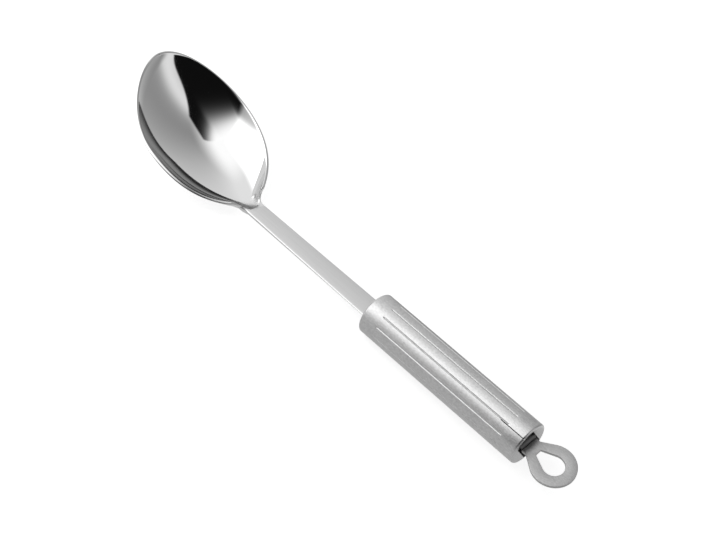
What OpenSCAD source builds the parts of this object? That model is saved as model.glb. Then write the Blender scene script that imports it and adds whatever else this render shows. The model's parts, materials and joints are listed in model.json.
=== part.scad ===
// Serving spoon with a deep tilted bowl, a round hollow handle and a hinged hanging loop.
// Sizes are in millimetres and degrees.
// It is drawn along the handle's axis first, with the handle's front face at x = 0 and the bowl
// towards -x, and is then tipped and moved so that it stands on z = 0 as it rests on a table.

/* [Bowl] */
// Outside width across the rim at the widest place
bowl_width = 72.9; // [55:0.1:95]
// Length along the stem's line, from the neck to the tip
bowl_length = 92.4; // [75:0.1:120]
// Height of the tip above the handle's axis
tip_rise = 51; // [35:0.1:70]
// Height of the rim above the handle's axis at the widest place
side_rise = 23; // [16:0.1:35]
// Depth inside, from the rim at the widest place
bowl_depth = 17.4; // [12:0.1:26]
// Sheet thickness of the bowl
bowl_wall = 1.5; // [0.8:0.1:3]

/* [Bowl outline] */
// How far the rim runs straight on from the stem before it flares
neck_round = 5.5; // [2:0.1:10]
// Distance from the neck to the middle of the flare
flare_run = 7.3; // [4:0.1:14]
// Outside width in the middle of the flare
flare_width = 25.5; // [18:0.1:34]
// Height of the rim above the handle's axis in the middle of the flare
flare_rise = 5.4; // [2:0.1:10]
// Growth of half the width along the flare
flare_slope = 1.43; // [0.8:0.01:3]
// Climb of the rim along the flare
flare_climb = 0.18; // [0:0.01:0.6]
// Roundness of the flare on the side of the neck
flare_back = 1.1; // [0.5:0.1:4]
// Roundness of the flare on the side of the shoulder
flare_front = 7.6; // [3:0.1:12]
// Distance from the neck to the widest place
widest_run = 52.2; // [40:0.1:65]
// Slope of the rim at the widest place
side_slope = 0.4; // [0:0.01:0.6]
// Roundness of the shoulders
shoulder_round = 25.7; // [15:0.1:35]
// Roundness of the sides
side_round = 21.9; // [12:0.1:30]
// Roundness of the tip
tip_round = 17.5; // [10:0.1:30]
// How far the bottom lies behind the widest place
keel_back = 5; // [0:0.1:12]
// Length over which the inside drops away from the neck
keel_run = 14; // [8:0.5:40]
// How steeply the inside drops away from the neck, as a fall over that length
keel_dip = 12; // [4:0.1:16]
// Angle that the section turns through from its middle to the rim
section_turn = 53; // [40:1:75]

/* [Stem] */
// Length from the handle's front face to the neck
stem_length = 97.5; // [75:0.5:130]
// Width where it enters the handle
stem_width = 14; // [10:0.1:17]
// Thickness where it enters the handle
stem_thickness = 1.9; // [1.4:0.1:4]
// Width at the neck
neck_width = 11.8; // [9:0.1:16]
// Thickness at the neck
neck_thickness = 3.6; // [2:0.1:5]
// Bevel along the top edges
stem_bevel = 0.6; // [0.2:0.1:1]
// Length of the tang inside the handle
tang_length = 30; // [15:1:60]

/* [Handle tube] */
// Turn of the tube, its pin and the loop about the handle's axis, against the bowl
handle_turn = 10; // [-20:0.5:20]
// Outside diameter
tube_diameter = 25; // [20:0.1:32]
// Length
tube_length = 112; // [90:0.5:150]
// Sheet thickness
tube_wall = 0.8; // [0.6:0.1:1.5]
// Rounding of the end edges
tube_corner = 1.2; // [0.8:0.1:2]
// Number of pressed grooves around the tube
groove_count = 12; // [6:1:18]
// Width of a groove at the surface
groove_width = 0.9; // [0.4:0.1:2]
// Depth of a groove
groove_depth = 0.35; // [0.2:0.05:0.5]
// Bare length between the grooves and each end
groove_margin = 11; // [6:0.5:20]
// Turn of the first groove from the top
groove_turn = 6.3; // [0:0.1:30]
// Turn of the seam and of the rear slot from the top
seam_turn = -26; // [-40:1:0]
// Length of the open seam at the rear end
seam_length = 22; // [8:1:40]
// Width of the open seam
seam_width = 0.3; // [0.2:0.05:0.6]
// Width of the rear slot between the two folded flaps
slot_width = 12.4; // [11.8:0.1:16]
// Lip left between the slot's ends and the tube's bore
slot_lip = 0.8; // [0.4:0.1:2]

/* [Front cap] */
// Length of the cap inside the tube
cap_length = 6; // [3:0.5:12]
// Gap between the cap and the tube's bore
cap_gap = 0.03; // [0:0.01:0.1]
// Gap around the stem in the cap
stem_gap = 0.1; // [0.05:0.01:0.3]
// Radius of the weld beads between the stem and the cap
bead_radius = 1; // [0.5:0.1:1.5]

/* [Hanging loop] */
// Distance from the tube's rear face to the centre of the eye
eye_reach = 16.8; // [14.5:0.1:24]
// Outside radius of the eye
eye_radius = 12.3; // [10:0.1:12.4]
// Radius of the round end of the hole
hole_radius = 6; // [4:0.1:8]
// Distance from the tube's rear face to the flat end of the hole
hole_start = 6.6; // [5:0.1:10]
// Width of the flat end of the hole
hole_flat = 3.9; // [2:0.1:6]
// Distance from the tube's rear face to the shoulders
shoulder_reach = 3; // [2:0.1:5]
// Width of the tab and the knuckle
tab_width = 11; // [8:0.1:11.4]
// Sheet thickness of the loop
loop_thickness = 1.6; // [1.2:0.1:1.8]
// Diameter of the hinge pin
pin_diameter = 2.4; // [1.8:0.1:3]
// Gap between the pin and the knuckle
hinge_gap = 0.05; // [0.03:0.01:0.15]
// Gap between the pin and its holes in the tube
pin_gap = 0.02; // [0:0.01:0.1]
// Distance of the pin behind the tube's rear face
pin_inset = 2.6; // [2.4:0.1:6]
// Width of the gap where the knuckle's rolled edge meets the plate
curl_gap = 0.4; // [0.2:0.05:0.6]

/* [Hidden] */
$fn = 96;

tube_radius = tube_diameter / 2;
bore_radius = tube_radius - tube_wall;
pin_radius = pin_diameter / 2;
knuckle_radius = pin_radius + hinge_gap + loop_thickness;
eye_x = tube_length + eye_reach;
pin_x = tube_length - pin_inset;
overcut = 1;

// Control points of the rim, each one being x, half width and height.
half_width = bowl_width / 2;
neck_x = -stem_length;
widest_x = neck_x - widest_run;
tip_x = neck_x - bowl_length;

// The inside rim lies one sheet thickness inside the outside rim, and at the tip it also drops a little.
tip_lip = bowl_wall * [0.85, 0, -0.5];

function widest(inset) = [widest_x, half_width - inset, side_rise];

// Way of the rim through the middle of the flare, towards the neck.
flare_way = [1, -flare_slope, -flare_climb];

function flare(inset) =
    [neck_x - flare_run, flare_width / 2, flare_rise] - inset * [flare_slope, 1, 0] / norm([flare_slope, 1]);

// The rim's three curves: from the neck to the flare, on to the widest place and on to the tip.
function rim(neck, tip, inset) = [
    [neck, neck - [neck_round, 0, 0], flare(inset) + flare_back * flare_way, flare(inset)],
    [flare(inset), flare(inset) - flare_front * flare_way,
        widest(inset) + shoulder_round * [1, 0, -side_slope], widest(inset)],
    [widest(inset), widest(inset) - side_round * [1, 0, -side_slope], tip + [0, tip_round, 0], tip]
];

outer_neck = [neck_x, neck_width / 2, neck_thickness / 2 - stem_bevel];
inner_neck = [neck_x, neck_width / 2 - stem_bevel, neck_thickness / 2];
outer_tip = [tip_x, 0, tip_rise];
inner_tip = outer_tip + tip_lip;
outer_rim = rim(outer_neck, outer_tip, 0);
inner_rim = rim(inner_neck, inner_tip, bowl_wall);

// The keel is the middle line of the bowl. It leaves the stem, passes below the widest place at the
// bowl's depth, and ends at the tip.
function keel(start, dip, depth, tip) =
    let (
        first = start - [keel_run, 0, dip],
        low = [widest_x + keel_back, 0, side_rise - depth]
    )
    [start, first, (8 * low - start - 3 * first - tip) / 3, tip];

outer_keel = keel([neck_x, 0, -neck_thickness / 2], keel_dip, bowl_depth + bowl_wall, outer_tip);
inner_keel = keel([neck_x, 0, neck_thickness / 2], keel_dip, bowl_depth, inner_tip);

function bezier(p, t) =
    pow(1 - t, 3) * p[0] + 3 * pow(1 - t, 2) * t * p[1] + 3 * (1 - t) * t * t * p[2] + pow(t, 3) * p[3];

// The flare lies at this share of the way along the bowl's sections, and the widest place at one half.
flare_share = 0.15;

function rim_at(curves, u) =
    u < flare_share ? bezier(curves[0], u / flare_share)
    : u < 0.5 ? bezier(curves[1], (u - flare_share) / (0.5 - flare_share))
    : bezier(curves[2], 2 * u - 1);

function swell(v, power) = sign(v) * pow(abs(v), 2 / power);

// One line across a skin from rim to rim. A power of 2 is a round section and a high one is boxy.
function skin(rim, low, power, turns) = [
    for (a = turns)
        let (
            side = swell(sin(a), power) / swell(sin(section_turn), power),
            rest = swell(cos(section_turn), power),
            drop = (swell(cos(a), power) - rest) / (1 - rest)
        )
        [rim.x + (low.x - rim.x) * drop, rim.y * side, rim.z + (low.z - rim.z) * drop]
];

// Points across a skin and sections along the bowl.
across = 16;
along = 48;
stem_power = 9;
bowl_power = 2;
blend_share = 0.3;
tip_end = 0.997;
turns_out = [for (k = [0 : across]) section_turn * (2 * k / across - 1)];
turns_back = [for (k = [0 : across]) section_turn * (1 - 2 * k / across)];

function smooth(t) = t < 0 ? 0 : t > 1 ? 1 : t * t * (3 - 2 * t);

function bowl_ring(u) =
    let (power = stem_power + (bowl_power - stem_power) * smooth(u / blend_share))
    concat(
        skin(rim_at(outer_rim, u), bezier(outer_keel, u), power, turns_out),
        skin(rim_at(inner_rim, u), bezier(inner_keel, u), bowl_power, turns_back)
    );

function stem_ring(x, width, thickness) =
    concat(
        skin([x, width / 2, thickness / 2 - stem_bevel], [x, 0, -thickness / 2], stem_power, turns_out),
        skin([x, width / 2 - stem_bevel, thickness / 2], [x, 0, thickness / 2], bowl_power, turns_back)
    );

// The stem keeps its width and thickness inside the handle and under the weld beads.
plain_end = -2 * bead_radius;
stem_rings = [
    stem_ring(tang_length, stem_width, stem_thickness),
    for (k = [0 : 5])
        let (t = k / 6)
        stem_ring(plain_end + (neck_x - plain_end) * t,
            stem_width + (neck_width - stem_width) * t,
            stem_thickness + (neck_thickness - stem_thickness) * t)
];
bowl_rings = [for (k = [0 : along]) bowl_ring(min(k / along, tip_end))];
rings = concat(stem_rings, bowl_rings);
ring_size = len(rings[0]);
head_points = [for (r = rings) for (p = r) p];

function end_faces(first, flip) = [
    for (k = [0 : across - 1])
        let (
            a = first + k,
            b = first + k + 1,
            c = first + ring_size - 2 - k,
            d = first + ring_size - 1 - k
        )
        for (f = [[a, b, c], [a, c, d]]) flip ? [f[2], f[1], f[0]] : f
];

side_faces = [
    for (i = [0 : len(rings) - 2])
        for (k = [0 : ring_size - 1])
            let (
                a = i * ring_size + k,
                b = i * ring_size + (k + 1) % ring_size,
                c = b + ring_size,
                d = a + ring_size
            )
            for (f = [[a, c, b], [a, d, c]]) f
];

// The spoon rests on the underside of the bowl and on the tube's front lower edge.
// Each point of the bowl gives the tilt at which it would touch; the smallest one is the real one.
corner_x = tube_corner;
corner_z = tube_corner - tube_radius;
bowl_points = [for (r = bowl_rings) for (p = r) p];
rest_tilt = min([
    for (p = bowl_points)
        let (run = p.x - corner_x, rise = p.z - corner_z)
        atan2(run, rise) + acos(-tube_corner / norm([run, rise]))
]);
rest_drop = min([for (p = bowl_points) p.x * sin(rest_tilt) + p.z * cos(rest_tilt)]);
front_end = min([for (p = bowl_points) p.x * cos(rest_tilt) - p.z * sin(rest_tilt)]);
rear_end = (eye_x + eye_radius) * cos(rest_tilt) + loop_thickness / 2 * sin(rest_tilt);

// Moves a piece from the handle's frame to the resting frame, centred over the origin.
module at_rest() {
    translate([-(front_end + rear_end) / 2, 0, -rest_drop]) rotate([0, -rest_tilt, 0]) children();
}

// The same for the pieces that sit turned about the handle's axis.
module turned_at_rest() {
    at_rest() rotate([handle_turn, 0, 0]) children();
}

// A round bar along the handle's axis.
module bar_x(radius, from, to) {
    translate([from, 0, 0]) rotate([0, 90, 0]) cylinder(r = radius, h = to - from);
}

// A round bar along the hinge's axis.
module bar_y(radius, width) {
    translate([pin_x, 0, 0]) rotate([90, 0, 0]) cylinder(r = radius, h = width, center = true);
}

// Something drawn at the top of the tube, turned around the tube's axis.
module turned(angle) {
    rotate([-angle, 0, 0]) children();
}

// Bowl, neck, stem and tang, pressed from one piece of sheet
module spoon_head() {
    color("gainsboro") at_rest()
        polyhedron(
            points = head_points,
            faces = concat(side_faces, end_faces(0, false), end_faces((len(rings) - 1) * ring_size, true)),
            convexity = 6
        );
}

// Plug that closes the tube's front end and holds the stem
module front_cap() {
    color("darkgray") at_rest() difference() {
        bar_x(bore_radius - cap_gap, 0, cap_length);
        translate([cap_length / 2, 0, 0])
            cube([cap_length + 2 * overcut, stem_width + 2 * stem_gap, stem_thickness + 2 * stem_gap],
                center = true);
    }
}

// Beads above and below the stem, where it enters the cap
module stem_weld() {
    bead_width = stem_width - 2 * stem_bevel - 2 * stem_gap;
    color("silver") at_rest()
        for (side = [0, 180])
            rotate([side, 0, 0]) translate([0, 0, stem_thickness / 2]) rotate([90, 0, 0])
                linear_extrude(height = bead_width, center = true) intersection() {
                    circle(r = bead_radius);
                    translate([-bead_radius, stem_gap]) square([bead_radius, bead_radius]);
                }
}

// Ring that rounds off the tube's rear edge
module edge_ring() {
    rotate_extrude() translate([tube_radius - tube_corner, 0]) difference() {
        square(tube_corner + overcut);
        circle(r = tube_corner);
    }
}

// Rolled sheet tube with pressed grooves, an open seam at the rear and two flaps that leave a slot
module handle_tube() {
    groove_rise = (groove_width * groove_width / 4 - groove_depth * groove_depth) / (2 * groove_depth);
    groove_radius = groove_rise + groove_depth;
    color("lightgray") turned_at_rest() difference() {
        bar_x(tube_radius, 0, tube_length);
        bar_x(bore_radius, -overcut, tube_length - tube_wall);
        translate([tube_length - tube_corner, 0, 0]) rotate([0, 90, 0]) edge_ring();
        translate([tube_corner, 0, 0]) rotate([0, -90, 0]) edge_ring();
        for (k = [0 : groove_count - 1])
            turned(groove_turn + 360 * k / groove_count) translate([0, 0, tube_radius + groove_rise])
                bar_x(groove_radius, groove_margin, tube_length - groove_margin);
        turned(seam_turn)
            translate([tube_length - seam_length, -seam_width / 2, bore_radius - overcut])
                cube([seam_length + overcut, seam_width, tube_wall + 2 * overcut]);
        turned(seam_turn) intersection() {
            translate([tube_length, 0, 0])
                cube([4 * tube_wall, slot_width, 2 * tube_radius], center = true);
            bar_x(bore_radius - slot_lip, 0, tube_length + overcut);
        }
        bar_y(pin_radius + pin_gap, 2 * tube_diameter);
    }
}

// Hinge pin across the tube, with its ends in the tube's wall
module loop_pin() {
    pin_length = 2 * sqrt(pow(tube_radius, 2) - pow(pin_radius, 2));
    color("slategray") turned_at_rest() bar_y(pin_radius, pin_length);
}

// Corner and tangent point of a straight side that runs from a corner to a circle around the eye
function tangent_point(corner, radius) =
    let (
        run = eye_x - corner.x,
        reach = norm([run, corner.y]),
        lean = asin(radius / reach) - atan2(corner.y, run),
        side = sqrt(reach * reach - radius * radius)
    )
    corner + side * [cos(lean), sin(lean)];

// Round end with two straight sides that run to a flat end
module teardrop(corner, radius) {
    far = tangent_point(corner, radius);
    translate([eye_x, 0]) circle(r = radius);
    polygon([corner, far, [eye_x, 0], [far.x, -far.y], [corner.x, -corner.y]]);
}

// Stamped plate with a teardrop eye, rolled around the pin at its front end
module hanging_loop() {
    shoulder_x = tube_length + shoulder_reach;
    curl_turn = asin(loop_thickness / 2 / knuckle_radius) + atan(curl_gap / 2 / knuckle_radius);
    color("gray") turned_at_rest() difference() {
        union() {
            bar_y(knuckle_radius, tab_width);
            translate([0, 0, -loop_thickness / 2]) linear_extrude(height = loop_thickness) difference() {
                union() {
                    translate([pin_x, -tab_width / 2]) square([shoulder_x - pin_x, tab_width]);
                    teardrop([shoulder_x, tab_width / 2], eye_radius);
                }
                teardrop([tube_length + hole_start, hole_flat / 2], hole_radius);
            }
        }
        bar_y(pin_radius + hinge_gap, 2 * tab_width);
        translate([pin_x, 0, 0]) rotate([0, -curl_turn, 0]) translate([0, -tab_width, -curl_gap / 2])
            cube([knuckle_radius + overcut, 2 * tab_width, curl_gap]);
    }
}

spoon_head();
front_cap();
stem_weld();
handle_tube();
loop_pin();
hanging_loop();
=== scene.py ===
"""Looks of a steel serving spoon: deep tilted bowl, grooved tube handle and hinged hanging loop."""

import json
import math

import bmesh
import bpy
import numpy as np
from bpy.props import FloatProperty, FloatVectorProperty, IntProperty, PointerProperty
from mathutils import Euler, Matrix, Vector


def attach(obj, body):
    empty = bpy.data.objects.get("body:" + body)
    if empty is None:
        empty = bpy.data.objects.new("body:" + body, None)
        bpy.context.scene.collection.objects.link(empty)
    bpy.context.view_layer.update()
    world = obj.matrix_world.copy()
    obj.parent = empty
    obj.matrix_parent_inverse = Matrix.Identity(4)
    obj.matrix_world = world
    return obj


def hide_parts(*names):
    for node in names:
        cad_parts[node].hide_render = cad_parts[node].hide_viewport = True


bl_info = {
    "name": "Serving Spoon",
    "version": (1, 0, 0),
    "blender": (4, 5, 0),
    "location": "View3D > Sidebar > Spoon",
    "description": "Builds the visible pieces of a steel serving spoon around its CAD frame",
    "category": "Object",
}

MM = 0.001
# Points closer than this are one point.
TINY = 1e-7
# How far a cutting tool reaches past what it cuts
OVERCUT = 0.001
# Height of the grain in the steel
GRAIN_HEIGHT = 0.00006

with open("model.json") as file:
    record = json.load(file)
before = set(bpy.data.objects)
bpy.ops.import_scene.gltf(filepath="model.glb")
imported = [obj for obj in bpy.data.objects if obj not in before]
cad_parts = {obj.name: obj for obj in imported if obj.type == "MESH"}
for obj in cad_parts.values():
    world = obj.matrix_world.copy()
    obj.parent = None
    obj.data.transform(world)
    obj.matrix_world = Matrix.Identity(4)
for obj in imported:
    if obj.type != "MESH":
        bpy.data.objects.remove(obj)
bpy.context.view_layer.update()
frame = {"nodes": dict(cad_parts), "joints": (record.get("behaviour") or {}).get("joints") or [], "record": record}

# The grip mount gives the handle's line. Its point lies at the middle of the tube's length.
GRIP = next(m for m in frame["record"]["mounts"] if m["name"] == "handle_grip")
GRIP_RADIUS = GRIP["dims"]["r_mm"] * MM
TUBE_LENGTH = 0.112
TILT = math.atan2(GRIP["axis"][2], GRIP["axis"][0])
FRONT_FACE = Vector(GRIP["pos_m"]) - Vector(GRIP["axis"]).normalized() * TUBE_LENGTH / 2
HINGE = next(j for j in frame["joints"] if j["name"] == "loop_hinge")
PIN_X = (Vector(HINGE["pos_m"]) - FRONT_FACE).dot(Vector(GRIP["axis"]).normalized())

# Pieces are drawn with the handle along x and its front face at x = 0, and this puts them on the table.
AT_REST = Matrix.Translation(FRONT_FACE) @ Matrix.Rotation(-TILT, 4, "Y")

# The tube and the loop sit turned about the handle's axis, as the hinge's axis shows.
HINGE_AXIS = AT_REST.to_3x3().inverted() @ Vector(HINGE["axis"])
HANDLE_TURN = math.atan2(-HINGE_AXIS.z, -HINGE_AXIS.y)
TURNED_AT_REST = AT_REST @ Matrix.Rotation(HANDLE_TURN, 4, "X")


def size(name, description, default):
    """A length that a user would change."""
    return FloatProperty(name=name, description=description, default=default, unit="LENGTH", precision=5)


def share(name, description, default):
    """A number from 0 to 1 that a user would change."""
    return FloatProperty(
        name=name, description=description, default=default, min=0, max=1, subtype="FACTOR"
    )


def turned_by(name, description, degrees):
    """An angle that a user would change."""
    return FloatProperty(name=name, description=description, default=math.radians(degrees), subtype="ANGLE")


def grey(name, description, default):
    """A steel's grey colour that a user would change."""
    return FloatVectorProperty(name=name, description=description, default=(default,) * 3, subtype="COLOR")


class SpoonHeadSizes(bpy.types.PropertyGroup):
    """Sizes of the bowl and the stem."""

    bowl_width: size("Bowl width", "Outside width across the rim", 0.0729)
    bowl_length: size("Bowl length", "Length from the neck to the tip along the stem's line", 0.0924)
    tip_rise: size("Tip rise", "Height of the tip above the handle's axis", 0.051)
    side_rise: size("Side rise", "Height of the rim at the widest place", 0.023)
    bowl_depth: size("Bowl depth", "Depth inside from the rim at the widest place", 0.0174)
    bowl_wall: size("Bowl wall", "Sheet thickness of the bowl", 0.0015)
    neck_round: size("Neck round", "How far the rim runs straight on from the stem", 0.0055)
    flare_run: size("Flare place", "Distance from the neck to the middle of the flare", 0.0073)
    flare_width: size("Flare width", "Outside width in the middle of the flare", 0.0255)
    flare_rise: size("Flare rise", "Height of the rim in the middle of the flare", 0.0054)
    flare_back: size("Flare back", "Roundness of the flare on the side of the neck", 0.0011)
    flare_front: size("Flare front", "Roundness of the flare on the side of the shoulder", 0.0076)
    widest_run: size("Widest place", "Distance from the neck to the widest place", 0.0522)
    shoulder_round: size("Shoulder round", "Roundness of the shoulders", 0.0257)
    side_round: size("Side round", "Roundness of the sides", 0.0219)
    tip_round: size("Tip round", "Roundness of the tip", 0.0175)
    keel_back: size("Keel back", "How far the bottom lies behind the widest place", 0.005)
    keel_run: size("Keel run", "Length over which the inside drops away from the neck", 0.014)
    keel_dip: size("Keel dip", "How far it drops over that length", 0.012)
    under_dip: size("Under dip", "How far the underside drops over that length", 0.005)
    stem_length: size("Stem length", "Length from the handle to the neck", 0.0975)
    stem_width: size("Stem width", "Width where it enters the handle", 0.014)
    stem_thickness: size("Stem thickness", "Thickness where it enters the handle", 0.0019)
    neck_width: size("Neck width", "Width at the neck", 0.0118)
    neck_thickness: size("Neck thickness", "Thickness at the neck", 0.0036)
    edge_round: size("Edge round", "Rounding along the stem's top edges", 0.0009)
    stem_crown: size("Stem crown", "How much lower the stem's top is along its edges", 0.00035)
    tang_length: size("Tang length", "Length of the stem inside the handle", 0.03)
    flare_slope: FloatProperty(
        name="Flare slope", description="Growth of half the width along the flare", default=1.43
    )
    flare_climb: share("Flare climb", "Climb of the rim along the flare", 0.18)
    side_slope: share("Side slope", "Slope of the rim at the widest place", 0.4)
    lip_slope: share("Lip slope", "Outward slope of the rim's lip", 0.45)
    section_turn: turned_by("Section turn", "Turn of a section up to the rim", 53)


class HandleSizes(bpy.types.PropertyGroup):
    """Sizes of the tube, its grooves and its rear end."""

    wall: size("Wall", "Sheet thickness of the tube", 0.0008)
    corner: size("Corner", "Rounding of the end edges", 0.0012)
    groove_width: size("Groove width", "Width of a pressed groove", 0.001)
    groove_depth: size("Groove depth", "Depth of a pressed groove", 0.00035)
    groove_margin: size("Groove margin", "Bare length between the grooves and each end", 0.011)
    seam_length: size("Seam length", "Length of the open seam at the rear end", 0.016)
    seam_width: size("Seam width", "Width of the open seam", 0.00045)
    slot_width: size("Slot width", "Width of the rear slot between the flaps", 0.0124)
    slot_lip: size("Slot lip", "Lip between the slot's ends and the bore", 0.0008)
    groove_count: IntProperty(name="Grooves", description="Number of pressed grooves", default=12, min=3)
    groove_turn: turned_by("Groove turn", "Turn of the first groove", 6.3)
    seam_turn: turned_by("Seam turn", "Turn of the seam and the slot", -26)


class LoopSizes(bpy.types.PropertyGroup):
    """Sizes of the hanging loop."""

    eye_reach: size("Eye reach", "Distance from the tube's rear face to the eye's centre", 0.0168)
    eye_radius: size("Eye radius", "Outside radius of the eye", 0.0123)
    hole_radius: size("Hole radius", "Radius of the hole's round end", 0.006)
    hole_start: size("Hole start", "Distance from the tube's rear face to the hole's flat end", 0.0066)
    hole_flat: size("Hole flat", "Width of the hole's flat end", 0.0039)
    shoulder_reach: size("Shoulder reach", "Distance from the tube's rear face to the shoulders", 0.003)
    tab_width: size("Tab width", "Width of the tab and the knuckle", 0.011)
    thickness: size("Thickness", "Sheet thickness", 0.0016)
    pin_radius: size("Pin radius", "Radius of the hinge pin", 0.0012)
    hinge_gap: size("Hinge gap", "Gap between the pin and the knuckle", 0.00005)
    curl_gap: size("Curl gap", "Gap at the knuckle's rolled edge", 0.0004)
    edge_round: size("Edge round", "Rounding of the plate's edges", 0.00025)


class SteelLooks(bpy.types.PropertyGroup):
    """Colours and finishes of the steel."""

    polished: grey("Polished steel", "Colour of the bowl", 0.82)
    satin: grey("Satin steel", "Colour of the stem and the handle", 0.63)
    mirror_roughness: share("Mirror roughness", "Roughness of the polished bowl", 0.05)
    satin_roughness: share("Satin roughness", "Roughness of the satin handle", 0.38)


class StageLooks(bpy.types.PropertyGroup):
    """The camera's place, turn and lens."""

    camera_place: FloatVectorProperty(
        name="Camera place",
        description="Where the camera stands",
        default=(0.292945, -0.441082, 0.584169),
        subtype="TRANSLATION",
    )
    camera_turn: FloatVectorProperty(
        name="Camera turn",
        description="How the camera is turned",
        default=(math.radians(42.0519), math.radians(-12.1024), math.radians(46.0023)),
        subtype="EULER",
    )
    lens: FloatProperty(name="Lens", description="Focal length in millimetres", default=71.615)


class Wire:
    """A socket of a shader tree that can stand in a Python sum."""

    def __init__(self, tree, socket):
        self.tree = tree
        self.socket = socket

    def node(self, kind, settings=None, inputs=None, output=0):
        """Adds a node with its settings and inputs, and returns one of its outputs."""
        made = self.tree.nodes.new(kind)
        for name, value in (settings or {}).items():
            setattr(made, name, value)
        for name, value in (inputs or {}).items():
            if isinstance(value, Wire):
                self.tree.links.new(value.socket, made.inputs[name])
            else:
                made.inputs[name].default_value = value
        return Wire(self.tree, made.outputs[output])

    def other(self, output):
        """Another output of the same node."""
        return Wire(self.tree, self.socket.node.outputs[output])

    def sum(self, operation, *values):
        """Adds a Math node over numbers and wires."""
        return self.node("ShaderNodeMath", {"operation": operation}, dict(enumerate(values)))

    def step(self, low, high):
        """Runs smoothly from 0 where this value is low to 1 where it is high."""
        return self.node("ShaderNodeMapRange", {"interpolation_type": "SMOOTHSTEP"}, {
            "Value": self, "From Min": low, "From Max": high
        })

    def noise(self, scale, detail, roughness):
        """A noise from 0 to 1 over this place."""
        return self.node("ShaderNodeTexNoise", {}, {
            "Vector": self, "Scale": scale, "Detail": detail, "Roughness": roughness
        })

    def mix(self, first, second):
        """A mix of two colours, with this value as the second one's share."""
        return self.node("ShaderNodeMix", {"data_type": "RGBA"}, {
            "Factor": self, "A": first, "B": second
        }, output=2)

    def __add__(self, other):
        return self.sum("ADD", self, other)

    def __radd__(self, other):
        return self.sum("ADD", other, self)

    def __sub__(self, other):
        return self.sum("SUBTRACT", self, other)

    def __rsub__(self, other):
        return self.sum("SUBTRACT", other, self)

    def __mul__(self, other):
        return self.sum("MULTIPLY", self, other)

    def __rmul__(self, other):
        return self.sum("MULTIPLY", other, self)

    def __truediv__(self, other):
        return self.sum("DIVIDE", self, other)

    def __rtruediv__(self, other):
        return self.sum("DIVIDE", other, self)


def blank_material(name):
    """A new material, its surface shader, a wire to build on and its object coordinates."""
    material = bpy.data.materials.new(name)
    material.use_nodes = True
    tree = material.node_tree
    shader = tree.nodes["Principled BSDF"]
    start = Wire(tree, None)
    place = start.node("ShaderNodeTexCoord", output="Object")
    return material, shader, start, place


def handle_place(start, place):
    """Object coordinates turned into the handle's, with x = 0 at the tube's front face."""
    return start.node("ShaderNodeMapping", {"vector_type": "TEXTURE"}, {
        "Vector": place, "Location": tuple(FRONT_FACE), "Rotation": (0, -TILT, 0)
    })


def finish_steel(material, shader, tone, rough, relief, strength):
    """Joins a steel's colour, roughness and fine relief to its shader."""
    bump = relief.node("ShaderNodeBump", {}, {
        "Height": relief, "Strength": strength, "Distance": GRAIN_HEIGHT
    })
    shader.inputs["Metallic"].default_value = 1
    for name, wire in (("Base Color", tone), ("Roughness", rough), ("Normal", bump)):
        material.node_tree.links.new(wire.socket, shader.inputs[name])


def steel(name, colour, roughness, grain, lift, slot_shade=0.0):
    """Satin steel with a fine ground grain and a little cloud, and painted shade on what lies inside the tube if
    asked.
    """
    material, shader, start, place = blank_material(name)
    flat = handle_place(start, place)
    along = start.node("ShaderNodeMapping", {}, {"Vector": flat, "Scale": (700, 2200, 2200)})
    lines = along.noise(1.0, 3.0, 0.7)
    cloud = flat.noise(90.0, 4.0, 0.55)
    dark = (*[c * (1 - lift) for c in colour], 1)
    light = (*[min(1, c * (1 + lift)) for c in colour], 1)
    ground = 0.5 + 2.2 * (lines - 0.5) + 0.15 * (cloud - 0.5)
    tone = ground.mix(dark, light)
    if slot_shade:
        # Painted shade: the steel inside the tube's rear face is darkened to near black, standing in for the shade
        # in the slot.
        painted_shade_colour = (0.05, 0.05, 0.05, 1)
        x = start.node("ShaderNodeSeparateXYZ", {}, {"Vector": flat})
        inside = x.step(TUBE_LENGTH + 0.0006, TUBE_LENGTH - 0.0002)
        slot_shade_amount = inside * (slot_shade + 0.3 * (cloud - 0.5))
        tone = slot_shade_amount.mix(tone, painted_shade_colour)
    rough = roughness + grain * (lines - 0.5) + 0.1 * (cloud - 0.5)
    finish_steel(material, shader, tone, rough, lines, 0.2)
    return material


def dull(colour):
    """A colour a fifth darker."""
    return [0.8 * c for c in colour]


def head_steel(looks, stem_length):
    """Mirror-polished bowl that turns into a finely brushed stem at the crease across the neck."""
    material, shader, start, place = blank_material("polished_and_brushed_steel")
    flat = handle_place(start, place)
    x = start.node("ShaderNodeSeparateXYZ", {}, {"Vector": flat})
    # The finish changes at the crease, which runs a little askew.
    edge = x + stem_length - 0.3 * x.other("Y")
    stem = edge.step(-0.0004, 0.0006)
    # The polish dulls a little way before the crease.
    dulled = edge.step(-0.018, -0.001)
    along = start.node("ShaderNodeMapping", {}, {"Vector": flat, "Scale": (25, 2600, 2600)})
    lines = along.noise(1.0, 3.0, 0.6)
    cloud = flat.noise(60.0, 3.0, 0.5)
    fine = flat.noise(900.0, 2.0, 0.5)
    brushed = looks.satin_roughness - 0.02 + 0.12 * (lines - 0.5)
    mirror = looks.mirror_roughness + 0.03 * (fine - 0.5) + 0.02 * (cloud - 0.5)
    rough = mirror + dulled * (brushed - mirror)
    satin = stem * (0.4 + 0.6 * lines)
    tone = satin.mix((*looks.polished, 1), (*looks.satin, 1))
    finish_steel(material, shader, tone, rough, stem * lines, 0.06)
    return material


def start_mesh():
    """Leaves nothing selected, so that the next operator works on the new primitive alone."""
    if bpy.context.object and bpy.context.object.mode != "OBJECT":
        bpy.ops.object.mode_set(mode="OBJECT")
    bpy.ops.object.select_all(action="DESELECT")


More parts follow.
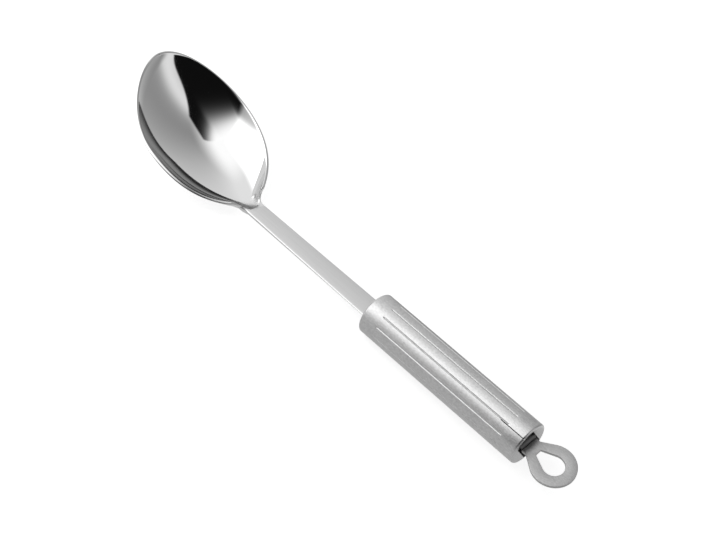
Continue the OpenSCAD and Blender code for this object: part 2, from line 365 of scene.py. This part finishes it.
def mapped_grid(name, columns, rows, place):
    """A grid primitive whose points are moved to place(column share, row share), in handle coordinates."""
    start_mesh()
    bpy.ops.mesh.primitive_grid_add(x_subdivisions=columns, y_subdivisions=rows, size=2)
    piece = bpy.context.object
    piece.name = name
    mesh = piece.data
    mesh.name = name
    points = np.zeros(len(mesh.vertices) * 3)
    mesh.vertices.foreach_get("co", points)
    points = points.reshape(-1, 3)
    mesh.vertices.foreach_set("co", place((points[:, 0] + 1) / 2, (points[:, 1] + 1) / 2).ravel())
    mesh.update()
    return piece


def close_up():
    """Merges the grid's meeting edges, fills what is still open and turns the faces outwards."""
    bpy.ops.object.mode_set(mode="EDIT")
    bpy.ops.mesh.select_all(action="SELECT")
    bpy.ops.mesh.remove_doubles(threshold=TINY)
    bpy.ops.mesh.select_all(action="DESELECT")
    bpy.ops.mesh.select_mode(type="EDGE")
    bpy.ops.mesh.select_non_manifold()
    bpy.ops.mesh.edge_face_add()
    bpy.ops.mesh.select_all(action="SELECT")
    bpy.ops.mesh.normals_make_consistent(inside=False)
    bpy.ops.object.mode_set(mode="OBJECT")


def apply_modifier(piece, kind, **settings):
    """Adds a modifier, sets it and applies it."""
    start_mesh()
    piece.select_set(True)
    bpy.context.view_layer.objects.active = piece
    modifier = piece.modifiers.new(kind.title(), kind)
    for name, value in settings.items():
        setattr(modifier, name, value)
    bpy.ops.object.modifier_apply(modifier=modifier.name)


def cut(piece, tool, operation="DIFFERENCE"):
    """Cuts a tool out of a piece, or joins it on, and removes the tool."""
    apply_modifier(piece, "BOOLEAN", operation=operation, object=tool, solver="EXACT")
    bpy.data.objects.remove(tool)


def settle(piece, body, material, nodes, angle, place=AT_REST):
    """Shades a finished piece, puts it at rest on the table and hands it to its body."""
    piece.data.materials.clear()
    piece.data.materials.append(material)
    start_mesh()
    piece.select_set(True)
    bpy.context.view_layer.objects.active = piece
    bpy.ops.object.shade_smooth_by_angle(angle=angle)
    piece.data.transform(place)
    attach(piece, body)
    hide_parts(*nodes)


def bezier(points, t):
    """Points of a cubic curve at the shares t."""
    t = np.asarray(t)[:, None]
    a, b, c, d = (np.asarray(p, float) for p in points)
    return (1 - t) ** 3 * a + 3 * (1 - t) ** 2 * t * b + 3 * (1 - t) * t * t * c + t**3 * d


class HeadShape:
    """The head's skins, worked out from its sizes much as in the CAD source."""

    # Grid steps across a skin, over a lip and along the head
    OUT, RIM, ROWS = 56, 10, 260
    # Squareness of a section in the stem and in the bowl, and the share of the bowl over which it changes
    STEM_POWER, BOWL_POWER, BLEND_SHARE = 9.0, 2.0, 0.1
    # Shares of the rows: the stem's of all, the tang's of the stem's and the flare's of the bowl's
    STEM_SHARE, TANG_SHARE, FLARE_SHARE = 0.2, 0.25, 0.15
    # The last row lies just short of the tip, where a face closes the head.
    LAST_SHARE = 0.9985
    # The stem tapers from this place just in front of the handle.
    TAPER_START = -0.002
    # Where the inner tip lies from the outer one, in wall thicknesses
    INNER_TIP = np.array([0.85, 0, -0.5])
    # How far the lip's curve runs on from each skin, as a share of the lip's width
    LIP_REACH = 0.2
    # Share of a section's turn from which a skin's direction at the rim is taken
    NEAR_RIM = 0.99

    def __init__(self, sizes):
        self.s = sizes
        self.columns = 2 * (self.OUT + self.RIM)
        self.neck = -sizes.stem_length
        wall = sizes.bowl_wall
        top = sizes.neck_thickness / 2
        side = sizes.neck_width / 2
        tip = np.array([self.neck - sizes.bowl_length, 0, sizes.tip_rise])
        inner_tip = tip + wall * self.INNER_TIP
        self.outer = self.rim(np.array([self.neck, side, top - sizes.edge_round]), tip, 0)
        inner_neck = np.array([self.neck, side - sizes.edge_round, top - sizes.stem_crown])
        self.inner = self.rim(inner_neck, inner_tip, wall)
        self.outer_keel = self.keel(-top, sizes.bowl_depth + wall, tip, sizes.under_dip)
        self.inner_keel = self.keel(top, sizes.bowl_depth, inner_tip, sizes.keel_dip)

    def rim(self, neck, tip, inset):
        """Control points of a rim: from the neck to the flare, on to the widest place and on to the tip."""
        s = self.s
        lift = s.lip_slope * (inset - s.bowl_wall / 2)
        wide = np.array([self.neck - s.widest_run, s.bowl_width / 2 - inset, s.side_rise + lift])
        side_way = np.array([1, 0, -s.side_slope])
        across = np.array([s.flare_slope, 1, 0]) / math.hypot(s.flare_slope, 1)
        flare = np.array([self.neck - s.flare_run, s.flare_width / 2, s.flare_rise + lift]) - inset * across
        flare_way = np.array([1, -s.flare_slope, -s.flare_climb])
        return (
            [neck, neck - [s.neck_round, 0, 0], flare + s.flare_back * flare_way, flare],
            [flare, flare - s.flare_front * flare_way, wide + s.shoulder_round * side_way, wide],
            [wide, wide - s.side_round * side_way, tip + [0, s.tip_round, 0], tip],
        )

    def keel(self, height, depth, tip, dip):
        """Control points of the middle line of a skin."""
        s = self.s
        start = np.array([self.neck, 0, height])
        first = start - [s.keel_run, 0, dip]
        low = np.array([self.neck - s.widest_run + s.keel_back, 0, s.side_rise - depth])
        return [start, first, (8 * low - start - 3 * first - tip) / 3, tip]

    def rim_at(self, rim, u):
        """Rim points at the shares u, from the neck to the tip."""
        shares = (0, self.FLARE_SHARE, 0.5, 1)
        result = np.zeros((len(u), 3))
        for curve, first, last in zip(rim, shares, shares[1:]):
            inside = (u >= first) & (u <= last)
            result[inside] = bezier(curve, (u[inside] - first) / (last - first))
        return result

    def lines(self, row):
        """Rim and keel of both skins and the section's power at each row, from the tang to the tip."""
        s = self.s
        start = self.TAPER_START
        along = np.clip(row / self.STEM_SHARE, 0, 1)
        in_handle = s.tang_length + (start - s.tang_length) * along / self.TANG_SHARE
        in_front = start + (self.neck - start) * (along - self.TANG_SHARE) / (1 - self.TANG_SHARE)
        x = np.where(along < self.TANG_SHARE, in_handle, in_front)
        taper = np.clip((start - x) / (start - self.neck), 0, 1)
        width = s.stem_width + (s.neck_width - s.stem_width) * taper
        thick = s.stem_thickness + (s.neck_thickness - s.stem_thickness) * taper
        u = np.clip((row - self.STEM_SHARE) / (1 - self.STEM_SHARE), 0, self.LAST_SHARE)
        in_bowl = (row > self.STEM_SHARE)[:, None]
        zero = np.zeros_like(x)
        outer_edge = np.c_[x, width / 2, thick / 2 - s.edge_round]
        outer = np.where(in_bowl, self.rim_at(self.outer, u), outer_edge)
        inner_edge = np.c_[x, width / 2 - s.edge_round, thick / 2 - s.stem_crown]
        inner = np.where(in_bowl, self.rim_at(self.inner, u), inner_edge)
        outer_keel = np.where(in_bowl, bezier(self.outer_keel, u), np.c_[x, zero, -thick / 2])
        inner_keel = np.where(in_bowl, bezier(self.inner_keel, u), np.c_[x, zero, thick / 2])
        blend = np.clip(u / self.BLEND_SHARE, 0, 1)
        power = self.STEM_POWER + (self.BOWL_POWER - self.STEM_POWER) * blend * blend * (3 - 2 * blend)
        return outer, outer_keel, inner, inner_keel, power

    def skin(self, rim, keel, power, turn):
        """Points of a skin where a section has turned by that angle."""
        def swell(v):
            return np.sign(v) * np.abs(v) ** (2 / power)

        rest = swell(np.full_like(turn, math.cos(self.s.section_turn)))
        side = swell(np.sin(turn)) / swell(np.full_like(turn, math.sin(self.s.section_turn)))
        drop = ((swell(np.cos(turn)) - rest) / (1 - rest))[:, None]
        points = rim + (keel - rim) * drop
        points[:, 1] = rim[:, 1] * side
        return points

    def place(self, column, row):
        """Points of the closed head: along the outer skin, over the rim and back along the inner skin."""
        outer, outer_keel, inner, inner_keel, power = self.lines(row)
        inner_power = np.full_like(power, self.BOWL_POWER)
        full = self.s.section_turn
        step = column * self.columns

        def outer_at(turn):
            return self.skin(outer, outer_keel, power, turn)

        def inner_at(turn):
            return self.skin(inner, inner_keel, inner_power, turn)

        def unit(ways):
            return ways / np.maximum(np.linalg.norm(ways, axis=1)[:, None], 1e-9)

        result = np.zeros((len(column), 3))
        out = step <= self.OUT
        result[out] = outer_at(full * (2 * step / self.OUT - 1))[out]
        back = (step >= self.OUT + self.RIM) & (step <= 2 * self.OUT + self.RIM)
        result[back] = inner_at(full * (1 - 2 * (step - self.OUT - self.RIM) / self.OUT))[back]
        for side, on_lip, first in (
            (1, (step > self.OUT) & (step < self.OUT + self.RIM), self.OUT),
            (-1, step > 2 * self.OUT + self.RIM, 2 * self.OUT + self.RIM),
        ):
            ends = np.full_like(power, side * full)
            before = ends * self.NEAR_RIM
            a = outer_at(ends)
            b = inner_at(ends)
            reach = self.LIP_REACH * np.linalg.norm(a - b, axis=1)[:, None]
            up_a = unit(a - outer_at(before)) * reach
            up_b = unit(b - inner_at(before)) * reach
            t = (step - first) / self.RIM
            arch = bezier((a, a + up_a, b + up_b, b), t if side > 0 else 1 - t)
            result[on_lip] = arch[on_lip]
        return result


class SPOON_OT_head(bpy.types.Operator):
    """Makes the bowl, neck and stem as one smooth pressing."""

    bl_idname = "spoon.head"
    bl_label = "Make the Head"

    def execute(self, context):
        sizes = context.scene.spoon_head
        shape = HeadShape(sizes)
        piece = mapped_grid("spoon_head_smooth", shape.columns, shape.ROWS, shape.place)
        close_up()
        finish = head_steel(context.scene.spoon_steel, sizes.stem_length)
        settle(piece, "spoon", finish, ["spoon_head"], math.radians(60))
        return {"FINISHED"}


class SPOON_OT_tube(bpy.types.Operator):
    """Makes the grooved tube with its folded flaps, its slot and its open seam."""

    bl_idname = "spoon.tube"
    bl_label = "Make the Handle Tube"

    # How far a groove's end reaches into the bare margin, and the length over which it fades
    FADE_REACH, FADE_LENGTH = 0.0003, 0.0009

    def execute(self, context):
        sizes = context.scene.spoon_handle
        rows = self.side_line(sizes)
        turns = self.turns(sizes)

        def place(column, row):
            turn = np.interp(column * (len(turns) - 1), np.arange(len(turns)), turns)
            k = np.rint(row * (len(rows) - 1)).astype(int)
            radius, x = rows[k, 0].copy(), rows[k, 1]
            outside = radius > GRIP_RADIUS - TINY
            radius[outside] -= self.press(sizes, turn, x)[outside]
            return np.c_[x, radius * np.sin(turn), radius * np.cos(turn)]

        piece = mapped_grid("handle_tube_grooved", len(turns) - 1, len(rows) - 1, place)
        close_up()
        cut(piece, self.slot_tool(sizes))
        cut(piece, self.seam_tool(sizes))
        looks = context.scene.spoon_steel
        satin = steel("satin_tube_steel", looks.satin, looks.satin_roughness, grain=0.25, lift=0.24)
        settle(piece, "spoon", satin, ["handle_tube"], math.radians(40), TURNED_AT_REST)
        return {"FINISHED"}

    @staticmethod
    def side_line(sizes):
        """Radius and place of each row: along the bore, round the front edge and back over the rear."""
        bore = GRIP_RADIUS - sizes.wall
        centre = GRIP_RADIUS - sizes.corner

        def arc(first, last, count):
            return [
                (centre + sizes.corner * math.cos(a), sizes.corner * math.sin(a))
                for a in np.linspace(first, last, count)
            ]

        rows = [(0, TUBE_LENGTH - sizes.wall), (bore, TUBE_LENGTH - sizes.wall)]
        first = math.acos((bore - centre) / sizes.corner)
        rows += [(radius, sizes.corner - back) for radius, back in arc(first, 0, 7)]
        # Rows lie close together where the grooves fade, and far apart between.
        fade = [-0.0006, -0.0003, 0, 0.0003, 0.0006, 0.001]
        apart = sizes.groove_margin + 0.004
        rows += [(GRIP_RADIUS, sizes.groove_margin + x) for x in fade]
        rows += [(GRIP_RADIUS, x) for x in np.linspace(apart, TUBE_LENGTH - apart, 12)]
        rows += [(GRIP_RADIUS, TUBE_LENGTH - sizes.groove_margin - x) for x in reversed(fade)]
        rows += [(radius, TUBE_LENGTH - sizes.corner + ahead) for radius, ahead in arc(0, math.pi / 2, 9)]
        rows += [(0, TUBE_LENGTH)]
        return np.array(rows)

    @staticmethod
    def turns(sizes):
        """Angles of the columns, close together at the grooves."""
        pitch = 2 * math.pi / sizes.groove_count
        close = np.r_[-1.6, -1.2, np.linspace(-1, 1, 11), 1.2, 1.6]
        close = close * sizes.groove_width / 2 / GRIP_RADIUS
        wide = np.linspace(close[-1], pitch + close[0], 8)[1:-1]
        one = np.r_[close, wide]
        turns = np.concatenate([sizes.groove_turn + k * pitch + one for k in range(sizes.groove_count)])
        return np.r_[turns, turns[0] + 2 * math.pi]

    def press(self, sizes, turn, x):
        """How deep the surface is pressed in at a place."""
        pitch = 2 * math.pi / sizes.groove_count
        off = (turn - sizes.groove_turn + pitch / 2) % pitch - pitch / 2
        across = np.clip(np.abs(off) * GRIP_RADIUS / (sizes.groove_width / 2), 0, 1)
        inside = np.minimum(x - sizes.groove_margin, TUBE_LENGTH - sizes.groove_margin - x)
        end = np.clip((inside + self.FADE_REACH) / self.FADE_LENGTH, 0, 1)
        return sizes.groove_depth * (1 - across**2) ** 1.5 * end * end * (3 - 2 * end)

    @staticmethod
    def slot_tool(sizes):
        """A round bar with two flat sides, which cuts the slot between the flaps."""
        start_mesh()
        radius = GRIP_RADIUS - sizes.wall - sizes.slot_lip
        bpy.ops.mesh.primitive_cylinder_add(
            vertices=128,
            radius=radius,
            depth=4 * OVERCUT,
            location=(TUBE_LENGTH, 0, 0),
            rotation=(0, math.pi / 2, 0),
        )
        tool = bpy.context.object
        bpy.ops.object.mode_set(mode="EDIT")
        across = Vector((0, math.cos(sizes.seam_turn), -math.sin(sizes.seam_turn)))
        for side in (1, -1):
            bpy.ops.mesh.select_all(action="SELECT")
            bpy.ops.mesh.bisect(
                plane_co=across * side * sizes.slot_width / 2 + Vector((TUBE_LENGTH, 0, 0)),
                plane_no=across * side,
                use_fill=True,
                clear_outer=True,
            )
        bpy.ops.object.mode_set(mode="OBJECT")
        return tool

    @staticmethod
    def seam_tool(sizes):
        """A thin blade that opens the seam at the rear end."""
        start_mesh()
        middle = GRIP_RADIUS - sizes.wall / 2
        bpy.ops.mesh.primitive_cube_add(
            size=1,
            location=(
                TUBE_LENGTH - sizes.seam_length / 2 + OVERCUT,
                middle * math.sin(sizes.seam_turn),
                middle * math.cos(sizes.seam_turn),
            ),
            rotation=(-sizes.seam_turn, 0, 0),
            scale=(sizes.seam_length + 2 * OVERCUT, sizes.seam_width, sizes.wall * 3),
        )
        return bpy.context.object


class SPOON_OT_loop(bpy.types.Operator):
    """Makes the hanging loop: a stamped plate with a teardrop eye and a rolled knuckle."""

    bl_idname = "spoon.loop"
    bl_label = "Make the Hanging Loop"

    def execute(self, context):
        sizes = context.scene.spoon_loop
        piece = self.plate(sizes)
        sharp = math.radians(40)
        apply_modifier(
            piece, "BEVEL", width=sizes.edge_round, segments=3, limit_method="ANGLE", angle_limit=sharp
        )
        knuckle = sizes.pin_radius + sizes.hinge_gap + sizes.thickness
        cut(piece, self.bar(knuckle, sizes.tab_width), "UNION")
        cut(piece, self.bar(sizes.pin_radius + sizes.hinge_gap, 2 * sizes.tab_width))
        cut(piece, self.curl_tool(sizes, knuckle))
        looks = context.scene.spoon_steel
        roughness = looks.satin_roughness + 0.06
        # The knuckle inside the tube's slot gets painted shade.
        satin = steel("satin_loop_steel", dull(looks.satin), roughness, grain=0.2, lift=0.2, slot_shade=0.8)
        settle(piece, "loop", satin, ["hanging_loop"], math.radians(30), TURNED_AT_REST)
        return {"FINISHED"}

    @staticmethod
    def bar(radius, width):
        """A round bar along the hinge."""
        start_mesh()
        bpy.ops.mesh.primitive_cylinder_add(
            vertices=96, radius=radius, depth=width, location=(PIN_X, 0, 0), rotation=(math.pi / 2, 0, 0)
        )
        return bpy.context.object

    @staticmethod
    def curl_tool(sizes, knuckle):
        """A thin blade for the gap where the rolled edge meets the plate."""
        start_mesh()
        turn = math.asin(sizes.thickness / 2 / knuckle) + math.atan(sizes.curl_gap / 2 / knuckle)
        reach = knuckle + OVERCUT
        bpy.ops.mesh.primitive_cube_add(
            size=1,
            location=(PIN_X + reach / 2 * math.cos(turn), 0, reach / 2 * math.sin(turn)),
            rotation=(0, -turn, 0),
            scale=(reach, 2 * sizes.tab_width, sizes.curl_gap),
        )
        return bpy.context.object

    @staticmethod
    def outline(centre, corner, radius, count):
        """Half of a teardrop: from a corner along its tangent and round to the far end."""
        run = centre - corner[0]
        reach = math.hypot(run, corner[1])
        lean = math.asin(radius / reach) - math.atan2(corner[1], run)
        first = math.pi / 2 + lean
        return [(centre + radius * math.cos(a), radius * math.sin(a)) for a in np.linspace(first, 0, count)]

    def plate(self, sizes):
        """The flat plate with its hole, as a closed solid."""
        centre = TUBE_LENGTH + sizes.eye_reach
        shoulder = (TUBE_LENGTH + sizes.shoulder_reach, sizes.tab_width / 2)
        flat_end = (TUBE_LENGTH + sizes.hole_start, sizes.hole_flat / 2)
        outer = [(PIN_X, shoulder[1]), shoulder] + self.outline(centre, shoulder, sizes.eye_radius, 56)
        inner = [flat_end] + self.outline(centre, flat_end, sizes.hole_radius, 40)
        shape = bmesh.new()
        edges = []
        for half in (outer, inner):
            ring = half + [(x, -y) for x, y in reversed(half) if y > TINY]
            points = [shape.verts.new((x, y, -sizes.thickness / 2)) for x, y in ring]
            edges += [shape.edges.new((a, b)) for a, b in zip(points, points[1:] + points[:1])]
        bmesh.ops.triangle_fill(shape, use_beauty=True, edges=edges)
        mesh = bpy.data.meshes.new("hanging_loop_stamped")
        shape.to_mesh(mesh)
        shape.free()
        piece = bpy.data.objects.new("hanging_loop_stamped", mesh)
        bpy.context.scene.collection.objects.link(piece)
        start_mesh()
        piece.select_set(True)
        bpy.context.view_layer.objects.active = piece
        bpy.ops.object.mode_set(mode="EDIT")
        bpy.ops.mesh.select_all(action="SELECT")
        bpy.ops.mesh.extrude_region_move(TRANSFORM_OT_translate={"value": (0, 0, sizes.thickness)})
        bpy.ops.mesh.select_all(action="SELECT")
        bpy.ops.mesh.normals_make_consistent(inside=False)
        bpy.ops.object.mode_set(mode="OBJECT")
        return piece


class SPOON_OT_small_parts(bpy.types.Operator):
    """Gives the cap, the weld beads and the pin their steel."""

    bl_idname = "spoon.small_parts"
    bl_label = "Finish the Small Parts"

    def execute(self, context):
        looks = context.scene.spoon_steel
        rough = looks.satin_roughness
        turned = steel("turned_cap_steel", looks.satin, rough + 0.05, grain=0.1, lift=0.04)
        bead = steel("weld_bead_steel", dull(looks.satin), rough + 0.15, grain=0.2, lift=0.15)
        for name, material in (("front_cap", turned), ("loop_pin", turned), ("stem_weld", bead)):
            node = frame["nodes"][name]
            node.data.materials.clear()
            node.data.materials.append(material)
        return {"FINISHED"}


class SPOON_OT_stage(bpy.types.Operator):
    """Makes the pale floor and room, the tent that the steel mirrors, the lamp and the camera."""

    bl_idname = "spoon.stage"
    bl_label = "Make the Stage"

    # Brightness of the tent's softbox, its dark flag, the near side, the bottom and what is mirrored twice
    BOX, FLAG, SIDE, BOTTOM, ECHO = 1.28, 0.005, 0.6, 0.57, 0.92
    # Brightness of the tent's top, and of its walls with what the window and the ends add
    TOP, WALL, WINDOW, ENDS = 1.2, 0.3, 0.55, 0.6

    def execute(self, context):
        looks = context.scene.spoon_stage
        self.floor()
        self.world(context.scene)
        self.surround()
        self.lamp("softbox", place=(-0.48, -0.685, 1.0), target=(-0.05, 0, 0), width=0.9, power=4)
        self.camera(context.scene, looks)
        context.scene.view_settings.view_transform = "Standard"
        return {"FINISHED"}

    @staticmethod
    def background_ray(start):
        """1 for a ray that shows the background: straight to the camera, off metal or through glass."""
        ray = start.node("ShaderNodeLightPath", output="Is Camera Ray")
        shown = ray + ray.other("Is Glossy Ray") + ray.other("Is Transmission Ray")
        return start.sum("MINIMUM", shown, 1.0)

    def floor(self):
        """A wide pale floor that looks white and keeps the object's shadow."""
        start_mesh()
        bpy.ops.mesh.primitive_plane_add(size=8)
        floor = bpy.context.object
        floor.name = "floor"
        material, shader, start, _ = blank_material("pale_floor")
        shader.inputs["Base Color"].default_value = (0.8, 0.8, 0.8, 1)
        shader.inputs["Roughness"].default_value = 0.9
        shader.inputs["Specular IOR Level"].default_value = 0
        glow = start.node("ShaderNodeEmission", {}, {"Color": (1, 1, 1, 1), "Strength": 0.6})
        own = Wire(material.node_tree, shader.outputs[0])
        both = start.node("ShaderNodeAddShader", {}, {0: own, 1: glow})
        mixed = start.node("ShaderNodeMixShader", {}, {0: self.background_ray(start), 1: own, 2: both})
        output = material.node_tree.nodes["Material Output"]
        material.node_tree.links.new(mixed.socket, output.inputs["Surface"])
        floor.data.materials.append(material)

    def world(self, scene):
        """An even pale room, which looks white wherever it shows."""
        world = bpy.data.worlds.new("pale_room")
        scene.world = world
        world.use_nodes = True
        tree = world.node_tree
        strength = 0.5 + 0.5 * self.background_ray(Wire(tree, None))
        tree.nodes["Background"].inputs["Color"].default_value = (1, 1, 1, 1)
        tree.links.new(strength.socket, tree.nodes["Background"].inputs["Strength"])

    def surround(self):
        """A wide tent around the spoon that shows only in the steel."""
        start_mesh()
        bpy.ops.mesh.primitive_uv_sphere_add(segments=96, ring_count=48, radius=1.6)
        tent = bpy.context.object
        tent.name = "surround"
        # The upper half stays, closed by a bottom just above the floor.
        bpy.ops.object.mode_set(mode="EDIT")
        bpy.ops.mesh.bisect(plane_co=(0, 0, 0.0002), plane_no=(0, 0, 1), use_fill=True, clear_inner=True)
        bpy.ops.object.mode_set(mode="OBJECT")
        tent.visible_camera = False
        tent.visible_diffuse = False
        tent.visible_shadow = False
        material, _, start, place = blank_material("surround")
        glow = start.node("ShaderNodeEmission", {}, {"Strength": self.tent_light(start, place)})
        output = material.node_tree.nodes["Material Output"]
        material.node_tree.links.new(glow.socket, output.inputs["Surface"])
        tent.data.materials.append(material)

    def tent_light(self, start, place):
        """The tent's brightness: a softbox above, a dark flag towards the loop, walls on the far side."""
        way = start.node("ShaderNodeSeparateXYZ", {}, {"Vector": place})
        level = start.sum("POWER", way * way + way.other("Y") * way.other("Y"), 0.5)
        # Degrees round the upright line, and degrees away from straight up
        turn = start.sum("DEGREES", start.sum("ARCTAN2", way.other("Y"), way))
        fall = start.sum("DEGREES", start.sum("ARCTAN2", level, way.other("Z")))
        # The degrees away from straight up, split into those towards the loop and those to the far side
        ahead = fall * way / level
        across = fall * way.other("Y") / level
        # The walls begin along a line that is sharp towards the loop and soft the other way.
        front = ahead.step(0, 8)
        curve = start.sum("MINIMUM", 6 + 0.0135 * ((ahead - 56) * (ahead - 56)), 19)
        edge = -7 + front * (curve + 7)
        blur = 7 - 5.5 * front
        walled = ((across - edge) / blur).step(-1, 1)
        box = self.box_light(start, way, turn, ahead, across)
        once = box + walled * (self.wall_light(start, turn, fall) - box)
        again = start.sum("GREATER_THAN", start.node("ShaderNodeLightPath", output="Glossy Depth"), 1.5)
        return once + again * (self.echo_light(ahead, across) - once)

    def wall_light(self, start, turn, fall):
        """Walls with a soft window and paler ends, which run into the bright top."""
        window = start.sum("EXPONENT", -0.002 * ((turn - 18) * (turn - 18)))
        wall = self.WALL + self.WINDOW * window + self.ENDS * start.sum("ABSOLUTE", turn).step(65, 150)
        return wall + fall.step(32, 8) * (self.TOP - wall)

    def box_light(self, start, way, turn, ahead, across):
        """The softbox, which fades into the dark flag along a curved line, the near side and the bottom."""
        far = start.sum("MAXIMUM", across, 0.0)
        near = start.sum("MAXIMUM", -35 - across, 0.0)
        past = ahead + 0.0107 * (across * across) + 0.5 * far + 1.1 * near - 14
        past = past / (4 - 1.5 * across.step(-4, 6))
        box = self.FLAG + self.SIDE * turn.step(-85, -110) + self.BOX / (1 + start.sum("EXPONENT", past))
        return box + way.other("Z").step(0.02, 0.0) * (self.BOTTOM - box)

    def echo_light(self, ahead, across):
        """What is mirrored twice: dark on the far side, so that the bowl's far wall stands out."""
        dark = (0.3 + 0.65 * ahead.step(-20, -62)) * (0.1 + 0.9 * across.step(22, 50))
        return self.ECHO + across.step(-4, 5) * (dark - self.ECHO)

    @staticmethod
    def lamp(name, place, target, width, power):
        """A square soft light that faces a point."""
        data = bpy.data.lights.new(name, "AREA")
        data.size = width
        data.energy = power
        lamp = bpy.data.objects.new(name, data)
        lamp.location = place
        lamp.visible_glossy = False
        lamp.rotation_euler = (Vector(target) - Vector(place)).to_track_quat("-Z", "Y").to_euler()
        bpy.context.scene.collection.objects.link(lamp)

    @staticmethod
    def camera(scene, looks):
        """The camera at the photograph's place."""
        data = bpy.data.cameras.new("camera")
        data.lens = looks.lens
        data.sensor_width = 36
        data.clip_start = 0.01
        camera = bpy.data.objects.new("camera", data)
        camera.location = looks.camera_place
        camera.rotation_euler = Euler(looks.camera_turn)
        scene.collection.objects.link(camera)
        scene.camera = camera


class SPOON_PT_pieces(bpy.types.Panel):
    """Lists the pieces and their sizes in the sidebar."""

    bl_idname = "SPOON_PT_pieces"
    bl_label = "Serving Spoon"
    bl_space_type = "VIEW_3D"
    bl_region_type = "UI"
    bl_category = "Spoon"

    def draw(self, context):
        for group, operator in (
            ("spoon_head", SPOON_OT_head),
            ("spoon_handle", SPOON_OT_tube),
            ("spoon_loop", SPOON_OT_loop),
            ("spoon_steel", SPOON_OT_small_parts),
            ("spoon_stage", SPOON_OT_stage),
        ):
            box = self.layout.box()
            box.operator(operator.bl_idname)
            settings = getattr(context.scene, group)
            for name in settings.__annotations__:
                box.prop(settings, name)


GROUPS = {
    "spoon_head": SpoonHeadSizes,
    "spoon_handle": HandleSizes,
    "spoon_loop": LoopSizes,
    "spoon_steel": SteelLooks,
    "spoon_stage": StageLooks,
}
OPERATORS = (SPOON_OT_head, SPOON_OT_tube, SPOON_OT_loop, SPOON_OT_small_parts, SPOON_OT_stage)


def register():
    for name, group in GROUPS.items():
        bpy.utils.register_class(group)
        setattr(bpy.types.Scene, name, PointerProperty(type=group))
    for operator in OPERATORS:
        bpy.utils.register_class(operator)
    bpy.utils.register_class(SPOON_PT_pieces)


def unregister():
    bpy.utils.unregister_class(SPOON_PT_pieces)
    for operator in reversed(OPERATORS):
        bpy.utils.unregister_class(operator)
    for name, group in reversed(GROUPS.items()):
        delattr(bpy.types.Scene, name)
        bpy.utils.unregister_class(group)


def main():
    register()
    bpy.ops.spoon.head()
    bpy.ops.spoon.tube()
    bpy.ops.spoon.loop()
    bpy.ops.spoon.small_parts()
    bpy.ops.spoon.stage()


if __name__ == "__main__":
    main()
